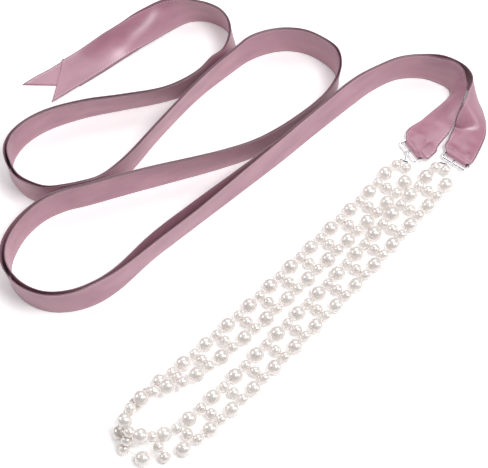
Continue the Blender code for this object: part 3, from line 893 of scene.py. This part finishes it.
    def pressed(self, along: float, across: float) -> float:
        """Give how far the creases and the gathering lift the cloth at one point.

        Args:
            along: Millimetres from the ring's inner bar.
            across: Millimetres from the lower edge.

        Returns:
            The lift in millimetres.
        """
        total = 0.0
        for crease in CREASES[self.side]:
            dx, dy = crease.along_end - crease.along, crease.across_end - crease.across
            u, v = along - crease.along, across - crease.across
            near = min(max((u * dx + v * dy) / (dx * dx + dy * dy), 0.0), 1.0)
            away = math.hypot(u - near * dx, v - near * dy)
            total += crease.height * math.exp(-(away / crease.width) ** 2)
        gather = math.sin(across * 2 * math.pi / self.gather_pitch + 0.6)
        total += self.gather_lift * (1 - smooth_step(*self.gather_fade, along)) * gather
        crumple = self.unevenness(along, across, self.crumple_size, 9.0)
        total += self.crumple_lift * crumple * (1 - smooth_step(*self.crumple_fade, along))
        wave = self.unevenness(along, across, self.wave_size, 3.0)
        return total * smooth_step(-3.0, 1.0, along) + self.wave_lift * wave

    def unevenness(self, along: float, across: float, size: tuple[float, float],
                   layer: float) -> float:
        """Give a smooth random height at one point of the cloth.

        Args:
            along: Millimetres from the ring's inner bar.
            across: Millimetres from the lower edge.
            size: The patches' size along and across, in millimetres.
            layer: The layer of the noise, to which each side adds its own sign.

        Returns:
            A height between about -1 and 1.
        """
        return noise.noise(Vector((along / size[0], across / size[1], layer + self.side.sign)))

    def build(self, material: bpy.types.Material) -> bpy.types.Object:
        """Build the ribbon as one closed thin shell.

        Args:
            material: The satin.

        Returns:
            The piece, with its UV map and its edge attribute.
        """
        edges = (0.0, 0.25, 0.6, 1.0)
        plain = self.width - 2 * edges[-1]
        inner = [edges[-1] + plain * i / self.columns for i in range(1, self.columns)]
        across_mm = list(edges) + inner + [self.width - value for value in reversed(edges)]
        verts: list[Vector] = []
        weave: list[tuple[float, float]] = []
        edge: list[float] = []
        frames = self.frames()
        last = len(across_mm) - 1
        order = [(k, 1) for k in range(last + 1)] + [(k, -1) for k in range(last, -1, -1)]
        for frame_ in frames:
            for k, face in order:
                share = across_mm[k] / self.width
                from_edge = min(across_mm[k], self.width - across_mm[k])
                cord = math.exp(-((from_edge - self.cord_half) / self.cord_spread) ** 2)
                half = self.body_half + (self.cord_half - self.body_half) * cord
                if from_edge == 0.0:
                    half *= self.edge_round
                lift = frame_.bow * 4 * share * (1 - share)
                lift += self.pressed(frame_.along, share * frame_.width)
                point = (frame_.foot + frame_.across * (share * frame_.width)
                         + frame_.normal * (lift + face * half))
                point.z = max(point.z, 0.0)
                verts.append(place(point.x, point.y, point.z))
                weave.append((frame_.along * MM, share * self.width * MM))
                edge.append(from_edge)
        ring = len(order)
        faces: list[list[int]] = []
        for i in range(len(frames) - 1):
            for k in range(ring):
                a, b = i * ring + k, i * ring + (k + 1) % ring
                faces.append([a, a + ring, b + ring, b])
        faces.append(list(range(ring)))
        faces.append(list(range((len(frames) - 1) * ring, len(frames) * ring))[::-1])
        piece = mesh_piece(f"{self.side.value}_satin_ribbon", verts, faces, material)
        layer = piece.data.uv_layers.new(name="weave")
        for loop in piece.data.loops:
            layer.data[loop.index].uv = weave[loop.vertex_index]
        attribute = piece.data.attributes.new("edge_mm", "FLOAT", "POINT")
        attribute.data.foreach_set("value", edge)
        self.outward(piece)
        self.length = frames[-1].along - frames[0].along
        return piece

    @staticmethod
    def outward(piece: bpy.types.Object) -> None:
        """Make the faces of a closed piece point outwards.

        Args:
            piece: The piece.
        """
        cage = bmesh.new()
        cage.from_mesh(piece.data)
        bmesh.ops.recalc_face_normals(cage, faces=cage.faces)
        cage.to_mesh(piece.data)
        cage.free()


@dataclass
class WireRing:
    """A rectangular ring of drawn wire that carries a ribbon and a hook."""

    ring: Ring
    length: float = 15.8
    depth: float = RING_DEPTH
    wire: float = RING_WIRE
    corner: float = 1.1
    floor_gap: float = RING_FLOOR_GAP

    def build(self, material: bpy.types.Material) -> bpy.types.Object:
        """Build the ring.

        Args:
            material: The plated wire.

        Returns:
            The piece.
        """
        height = self.floor_gap + self.wire / 2
        points = []
        steps = 8
        for a, b, start in ((1, 1, 0.0), (-1, 1, 90.0), (-1, -1, 180.0), (1, -1, 270.0)):
            for i in range(steps + 1):
                angle = math.radians(start + 90.0 * i / steps)
                u = a * (self.length / 2 - self.corner) + self.corner * math.cos(angle)
                v = b * (self.depth / 2 - self.corner) + self.corner * math.sin(angle)
                p = self.ring.middle + self.ring.long_side * u + self.ring.inward * v
                points.append(place(p.x, p.y, height))
        return WireTree(16).draw(f"{self.ring.side.value}_wire_ring", [points], self.wire,
                                 material, cyclic=True)


@dataclass
class NetHook:
    """The hook at one end of the net: a bent wire over the ring, and a tube for the threads."""

    ring: Ring
    wire: float = 1.0
    bar: float = 1.8
    bar_length: float = 4.6
    bar_lip: float = 0.03
    ring_wire: float = RING_WIRE
    ring_depth: float = RING_DEPTH
    ring_floor_gap: float = RING_FLOOR_GAP
    clearance: float = CLEARANCE
    small_pearl: float = 6.0
    pearl_height: float = 4.0
    bend_start: float = -60.0
    bend_sweep: float = 210.0
    knee: float = 1.2

    def build(self, net: "PearlNet", material: bpy.types.Material) -> bpy.types.Object:
        """Build the hook.

        Args:
            net: The net that hangs on it.
            material: The plated wire.

        Returns:
            The piece.
        """
        height = self.ring_floor_gap + self.ring_wire / 2
        bend = self.ring_wire / 2 + self.clearance + self.wire / 2
        away = -self.ring.inward
        outer_bar = self.ring.middle + away * (self.ring_depth / 2)
        net_end, out = net.end(bool(self.ring.net_end))
        end = net_end + out * (self.small_pearl / 2 + self.clearance + self.bar / 2)
        points = []
        steps = 16
        for i in range(steps + 1):
            angle = math.radians(self.bend_start - self.bend_sweep * i / steps)
            p = outer_bar + away * (bend * math.cos(angle))
            points.append(place(p.x, p.y, height + bend * math.sin(angle)))
        knee = outer_bar + away * self.knee
        points.append(place(knee.x, knee.y, height + bend))
        points.append(place(end.x, end.y, self.pearl_height))
        name = f"{self.ring.side.value}_net_hook"
        shank = WireTree(12).draw(f"{name}_shank", [points], self.wire, material)
        across = Vector((-out.y, out.x, 0.0))
        shares = (-0.5, self.bar_lip - 0.5, 0.5 - self.bar_lip, 0.5)
        ends = [end + across * (self.bar_length * share) for share in shares]
        line = [place(p.x, p.y, self.pearl_height) for p in ends]
        tube = WireTree(16).draw(f"{name}_tube", [line], self.bar, material)
        return joined_pieces(name, [shank, tube])


def joined_pieces(name: str, pieces: Sequence[bpy.types.Object]) -> bpy.types.Object:
    """Put the meshes of several pieces into one.

    Args:
        name: The new piece's name.
        pieces: The pieces, which are removed. They share one list of materials.

    Returns:
        The new piece.
    """
    cage = bmesh.new()
    for piece in pieces:
        cage.from_mesh(piece.data)
    mesh = bpy.data.meshes.new(name)
    cage.to_mesh(mesh)
    cage.free()
    for material in pieces[0].data.materials:
        mesh.materials.append(material)
    for piece in pieces:
        bpy.data.objects.remove(piece, do_unlink=True)
    return stand(name, mesh)


@dataclass
class PearlNet:
    """The net: pairs of large pearls and rows of three small ones, strung on nylon."""

    stations: int = 29
    start_reach: float = 9.0
    row_spacing: float = 12.0
    start_spacing: float = 6.0
    height: float = 4.0
    thread: float = 0.45
    tie_reach: float = 3.6
    tie_share: float = 0.55
    seed: int = 7

    def __post_init__(self) -> None:
        """Work out where the stations lie on the net's way."""
        self.at = curve_through(NET_WAY)
        fine = 40
        self.places = [i / fine for i in range((len(NET_WAY) - 1) * fine + 1)]
        self.lengths = [0.0]
        for a, b in zip(self.places[:-1], self.places[1:]):
            pa, pb = self.at(a), self.at(b)
            self.lengths.append(self.lengths[-1] + math.hypot(pb[0] - pa[0], pb[1] - pa[1]))
        self.pitch = (self.lengths[-1] - 2 * self.start_reach) / (self.stations - 1)

    def position(self, station: float) -> float:
        """Give where a station lies on the net's way.

        Args:
            station: The station, or a place between two.

        Returns:
            The place, in rows of the way.
        """
        target = self.start_reach + self.pitch * station
        low = max(i for i, value in enumerate(self.lengths[:-1]) if value <= target)
        return self.places[low] + (target - self.lengths[low]) / (
            self.lengths[low + 1] - self.lengths[low]) * (self.places[1] - self.places[0])

    def across(self, station: float) -> tuple[Vector, Vector]:
        """Give the middle point and the direction across the net.

        Args:
            station: The station, or a place between two.

        Returns:
            The point in table millimetres, and the unit direction.
        """
        place_at = self.position(station)
        x, y, roll, skew = self.at(place_at)
        heading = heading_of(self.at, place_at, len(NET_WAY) - 1)
        left = Vector((-heading.y, heading.x, 0.0))
        left.rotate(Euler((0.0, 0.0, math.radians(skew))))
        angle = math.radians(roll)
        way = left * math.cos(angle) + Vector((0.0, 0.0, -math.sin(angle)))
        lift = abs(math.sin(angle)) * self.row_spacing / 2
        return Vector((x, y, self.height + lift)), way

    def end(self, far: bool) -> tuple[Vector, Vector]:
        """Give the middle of an end of the net, and the direction out of it.

        Args:
            far: Whether it is the far end.

        Returns:
            The point on the table, and the unit direction.
        """
        last = len(NET_WAY) - 1
        row = last if far else 0
        heading = heading_of(self.at, row, last)
        point = Vector((*self.at(row)[:2], 0.0))
        return point, heading if far else -heading

    def pearls(self) -> tuple[list[tuple[Vector, Vector, Pearl]], list[list[Vector]]]:
        """Lay out the pearls and the threads between them.

        Returns:
            Each pearl's centre, the direction of its hole and its size, and the threads' lines.
        """
        seats: list[tuple[Vector, Vector, Pearl]] = []
        rows: list[list[Vector]] = []
        half = self.row_spacing / 2
        for station in range(self.stations):
            middle, way = self.across(station)
            heading = heading_of(self.at, self.position(station), len(NET_WAY) - 1)
            rows.append([middle - way * half, middle + way * half])
            seats += [(centre, heading, Pearl.LARGE) for centre in rows[-1]]
            if station < self.stations - 1:
                middle, way = self.across(station + 0.5)
                rows.append([middle - way * half, middle, middle + way * half])
                seats += [(centre, way, Pearl.SMALL) for centre in rows[-1]]
        ends = []
        for far in (False, True):
            point, out = self.end(far)
            across = Vector((-out.y, out.x, 0.0)) * (1 if far else -1)
            centre = Vector((point.x, point.y, self.height))
            starts = [centre + across * (self.start_spacing / 2 * side) for side in (-1, 1)]
            seats += [(p, out, Pearl.SMALL) for p in starts]
            ends.append((starts, out))
        lines = self.threads(rows, ends)
        return seats, lines

    def threads(self, rows: list[list[Vector]],
                ends: list[tuple[list[Vector], Vector]]) -> list[list[Vector]]:
        """Run the threads through the pearls.

        Args:
            rows: The pearl centres of each row, large and small in turn.
            ends: The two start pearls of each end, and the direction out.

        Returns:
            The threads' lines, in table millimetres.
        """
        (near, _), (far, _) = ends
        lines = []
        for edge in (0, -1):
            near_tie, far_tie = (
                (start[0] + start[-1]) / 2 * (1 - self.tie_share) + start[edge] * self.tie_share
                + out * self.tie_reach for start, out in ends)
            lines.append([near_tie, near[edge], *(row[edge] for row in rows), far[edge], far_tie])
        lines += [row for row in rows if len(row) == 3]
        lines += [near, far]
        return lines

    def pearl_tree(self, material: bpy.types.Material) -> bpy.types.NodeTree:
        """Build the tree that sets a drilled pearl on each point.

        Args:
            material: The pearl lacquer.

        Returns:
            A tree with the inputs Segments, Rings, Hole, Dimple, Size spread and Seed.
        """
        group = bpy.data.node_groups.new("strung_pearls", "GeometryNodeTree")
        for name, kind in (("Geometry", "NodeSocketGeometry"), ("Segments", "NodeSocketInt"),
                           ("Rings", "NodeSocketInt"), ("Hole", "NodeSocketFloat"),
                           ("Dimple", "NodeSocketFloat"), ("Size spread", "NodeSocketFloat"),
                           ("Seed", "NodeSocketInt")):
            tree_socket(group, name, kind)
        tree_socket(group, "Geometry", "NodeSocketGeometry", output=True)
        entry = add_node(group, "NodeGroupInput")
        ball = add_node(group, "GeometryNodeMeshUVSphere",
                        {"Segments": entry.outputs["Segments"], "Rings": entry.outputs["Rings"],
                         "Radius": 1.0})
        where = add_node(group, "GeometryNodeInputPosition")
        split = add_node(group, "ShaderNodeSeparateXYZ", {0: where.outputs[0]})
        from_pole = add_node(group, "ShaderNodeMath", {0: split.outputs[2]}, operation="ABSOLUTE")
        rim = add_node(group, "ShaderNodeMath", {0: 1.0, 1: entry.outputs["Hole"]},
                       operation="SUBTRACT")
        sink = add_node(group, "ShaderNodeMapRange",
                        {"Value": from_pole.outputs[0], "From Min": rim.outputs[0],
                         "From Max": 1.0, "To Min": 0.0, "To Max": entry.outputs["Dimple"]})
        inward = add_node(group, "ShaderNodeMath", {0: sink.outputs[0], 1: -1.0},
                          operation="MULTIPLY")
        shift = add_node(group, "ShaderNodeVectorMath",
                         {0: where.outputs[0], "Scale": inward.outputs[0]}, operation="SCALE")
        drilled = add_node(group, "GeometryNodeSetPosition",
                           {"Geometry": ball.outputs[0], "Offset": shift.outputs[0]})
        smooth = add_node(group, "GeometryNodeSetShadeSmooth", {0: drilled.outputs[0]})
        axis = add_node(group, "GeometryNodeInputNamedAttribute", {"Name": "hole_axis"},
                        data_type="FLOAT_VECTOR")
        turn = add_node(group, "FunctionNodeAlignRotationToVector", {"Vector": axis.outputs[0]},
                        axis="Z")
        radius = add_node(group, "GeometryNodeInputNamedAttribute", {"Name": "pearl_radius"},
                          data_type="FLOAT")
        least = add_node(group, "ShaderNodeMath", {0: 1.0, 1: entry.outputs["Size spread"]},
                         operation="SUBTRACT")
        vary = add_node(group, "FunctionNodeRandomValue",
                        {"Min": least.outputs[0], "Max": 1.0, "Seed": entry.outputs["Seed"]},
                        data_type="FLOAT")
        size = add_node(group, "ShaderNodeMath", {0: radius.outputs[0], 1: vary.outputs[1]},
                        operation="MULTIPLY")
        strung = add_node(group, "GeometryNodeInstanceOnPoints",
                          {"Points": entry.outputs[0], "Instance": smooth.outputs[0],
                           "Rotation": turn.outputs[0], "Scale": size.outputs[0]})
        shade = add_node(group, "FunctionNodeRandomValue", {"Seed": entry.outputs["Seed"]},
                         data_type="FLOAT")
        tinted = add_node(group, "GeometryNodeStoreNamedAttribute",
                          {"Geometry": strung.outputs[0], "Name": "tint",
                           "Value": shade.outputs[1]}, data_type="FLOAT", domain="INSTANCE")
        real = add_node(group, "GeometryNodeRealizeInstances", {0: tinted.outputs[0]})
        dressed = add_node(group, "GeometryNodeSetMaterial",
                           {"Geometry": real.outputs[0], "Material": material})
        add_node(group, "NodeGroupOutput", {0: dressed.outputs[0]})
        return group

    def build(self, pearl: bpy.types.Material,
              nylon: bpy.types.Material) -> tuple[bpy.types.Object, bpy.types.Object]:
        """Build the pearls and their threads.

        Args:
            pearl: The pearl lacquer.
            nylon: The bead cord.

        Returns:
            The pearls, and the threads.
        """
        seats, lines = self.pearls()
        mesh = bpy.data.meshes.new("pearl_seats")
        mesh.from_pydata([tuple(place(*centre)) for centre, _, _ in seats], [], [])
        axis = mesh.attributes.new("hole_axis", "FLOAT_VECTOR", "POINT")
        axis.data.foreach_set("vector", [value for _, way, _ in seats for value in way])
        radius = mesh.attributes.new("pearl_radius", "FLOAT", "POINT")
        radius.data.foreach_set("value", [size.value / 2 * MM for _, _, size in seats])
        pearls = grown_mesh("strung_pearls", stand("pearl_seats", mesh), self.pearl_tree(pearl),
                            {"Segments": 28, "Rings": 18, "Hole": 0.025, "Dimple": 0.1,
                             "Size spread": 0.015, "Seed": self.seed})
        placed = [[place(*point) for point in line] for line in lines]
        threads = WireTree(8).draw("net_threads", placed, self.thread, nylon)
        return pearls, threads


@dataclass
class TackStitches:
    """The short tack stitches that hold a ribbon's pleat and its flap behind the ring."""

    side: Side
    stitch: float = 1.2
    thread: float = 0.3
    arch: float = 0.14
    steps: int = 6

    @property
    def seats(self) -> tuple[tuple[float, float], ...]:
        """Give the stitches' places.

        Returns:
            Millimetres along and across the ribbon, for each stitch.
        """
        if self.side is Side.LEFT:
            return ((3.8, 3.8), (4.4, 3.4), (5.6, 14.4))
        return ((2.8, 13.8), (3.4, 13.4), (5.2, 4.0))

    def build(self, ribbon: SatinRibbon, material: bpy.types.Material) -> bpy.types.Object:
        """Build the stitches.

        Args:
            ribbon: The ribbon they lie on.
            material: The sewing thread.

        Returns:
            The piece.
        """
        frames = ribbon.frames()
        lines = []
        for along, middle in self.seats:
            row = min(frames, key=lambda one: abs(one.along - along))
            up = 1 if row.normal.z > 0 else -1
            line = []
            for i in range(self.steps + 1):
                across = middle + self.stitch * (i / self.steps - 0.5)
                share = across / row.width
                above = ribbon.body_half + self.arch * math.sin(math.pi * i / self.steps)
                lift = row.bow * 4 * share * (1 - share) + ribbon.pressed(row.along, across)
                p = row.foot + row.across * across + row.normal * (lift + up * above)
                line.append(place(p.x, p.y, p.z))
            lines.append(line)
        return WireTree(6).draw(f"{self.side.value}_tack_stitches", lines, self.thread, material)


@dataclass
class Studio:
    """The table, the lights and the camera at the photograph's angle."""

    elevation: float = 53.0
    distance: float = 1.0
    focal_px: float = 1870.0
    floor_size: float = 12.0
    table_glow: float = 0.25
    shade_edge: float = 0.93
    shade_core: float = 0.99
    room_light: float = 0.22
    shade_light: float = 0.03

    def floor(self) -> None:
        """Lay the plain pale table top."""
        material, _, _ = start_material("plain_table", {
            "Base Color": to_linear("#f7f6f6"), "Roughness": 0.7,
            "Emission Color": to_linear("#ffffff"), "Emission Strength": self.table_glow})
        half = self.floor_size / 2
        square = ((-half, -half), (half, -half), (half, half), (-half, half))
        corners = [Vector((x, y, 0.0)) for x, y in square]
        mesh_piece("table_top", corners, [(0, 1, 2, 3)], material)

    @property
    def photo_side(self) -> Vector:
        """Give the unit direction from the sash to the place the photograph is taken from."""
        tilt = math.radians(self.elevation)
        return Vector((0.0, -math.cos(tilt), math.sin(tilt)))

    def light(self, name: str, where: Sequence[float], size: float, power: float) -> None:
        """Hang one soft box that looks at the sash.

        Args:
            name: The light's name.
            where: Its place in metres.
            size: The side of its square face in metres.
            power: Its power in watts.
        """
        data = bpy.data.lights.new(name, "AREA")
        data.size = size
        data.energy = power
        lamp = stand(name, data)
        lamp.location = where
        lamp.rotation_euler = (-Vector(where)).to_track_quat("-Z", "Y").to_euler()

    def room(self) -> bpy.types.World:
        """Make the surroundings: a pale room, darker on the side that the photograph is taken from.

        Returns:
            The world.
        """
        world = bpy.data.worlds.new("studio")
        world.use_nodes = True
        tree = world.node_tree
        way = add_node(tree, "ShaderNodeTexCoord")
        toward = add_node(tree, "ShaderNodeVectorMath",
                          {0: way.outputs["Generated"], 1: self.photo_side},
                          operation="DOT_PRODUCT")
        shade = add_node(tree, "ShaderNodeMapRange",
                         {0: toward.outputs["Value"], 1: self.shade_edge, 2: self.shade_core,
                          3: self.room_light, 4: self.shade_light})
        tree.links.new(shade.outputs[0], tree.nodes["Background"].inputs["Strength"])
        return world

    def build(self) -> None:
        """Set up the table, the lights, the surroundings and the camera."""
        self.floor()
        self.light("key", (0.6, -0.5, 1.5), 0.7, 21.0)
        self.light("back", (0.0, 0.85, 1.35), 1.2, 10.0)
        self.light("left", (-1.5, 0.2, 0.9), 0.8, 8.0)
        self.light("right", (1.5, -0.3, 0.9), 0.8, 5.0)
        bpy.context.scene.world = self.room()
        bpy.context.scene.view_settings.view_transform = "Standard"
        data = bpy.data.cameras.new("photo_camera")
        data.sensor_width = 36.0
        data.lens = self.focal_px / IMAGE_WIDTH * data.sensor_width
        camera = stand("photo_camera", data)
        camera.location = place(0.0, 0.0, 0.0) + self.photo_side * self.distance
        camera.rotation_euler = (math.pi / 2 - math.radians(self.elevation), 0.0, 0.0)
        bpy.context.scene.camera = camera


@dataclass
class BridalSash:
    """The whole sash."""

    satin: SatinFinish = SatinFinish()
    lacquer: PearlFinish = PearlFinish()
    silver: SilverFinish = SilverFinish()
    nylon: ThreadFinish = ThreadFinish("nylon_bead_cord", "#f2efe9", 0.4)
    sewing: ThreadFinish = ThreadFinish("polyester_sewing_thread", "#9a6c7b")

    def carry(self, piece: bpy.types.Object, nodes: Sequence[str] = ()) -> None:
        """Tie a finished piece to the frame.

        Args:
            piece: The piece.
            nodes: The solids that it stands for.
        """
        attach(piece, BODY)
        if nodes:
            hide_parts(*nodes)
        LOG.info("%s: %d faces, stands for %d solids", piece.name, len(piece.data.polygons),
                 len(nodes))

    def build(self) -> None:
        """Build every piece and tie it to the frame."""
        solids = sorted(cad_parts)
        satin = self.satin.material()
        silver = self.silver.material()
        sewing = self.sewing.material()
        net = PearlNet()
        for side, ring in RINGS.items():
            ribbon = SatinRibbon(side, TAIL_LENGTHS[side])
            cloth = ribbon.build(satin)
            self.carry(cloth, [n for n in solids if n.startswith(f"{side.value}_ribbon")])
            stitches = TackStitches(side).build(ribbon, sewing)
            self.carry(stitches)
            LOG.info("%s ribbon is %.0f mm long", side.value, ribbon.length)
            self.carry(WireRing(ring).build(silver), [f"{side.value}_ring"])
            self.carry(NetHook(ring).build(net, silver), [f"{side.value}_hook"])
        pearls, threads = net.build(self.lacquer.material(), self.nylon.material())
        self.carry(pearls, [n for n in solids if n.startswith("net_")])
        self.carry(threads)


def main() -> None:
    """Build the studio and the sash, and note the sizes."""
    logging.basicConfig(level=logging.INFO, format="%(message)s")
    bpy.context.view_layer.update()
    Studio().build()
    BridalSash().build()


if __name__ == "__main__":
    main()
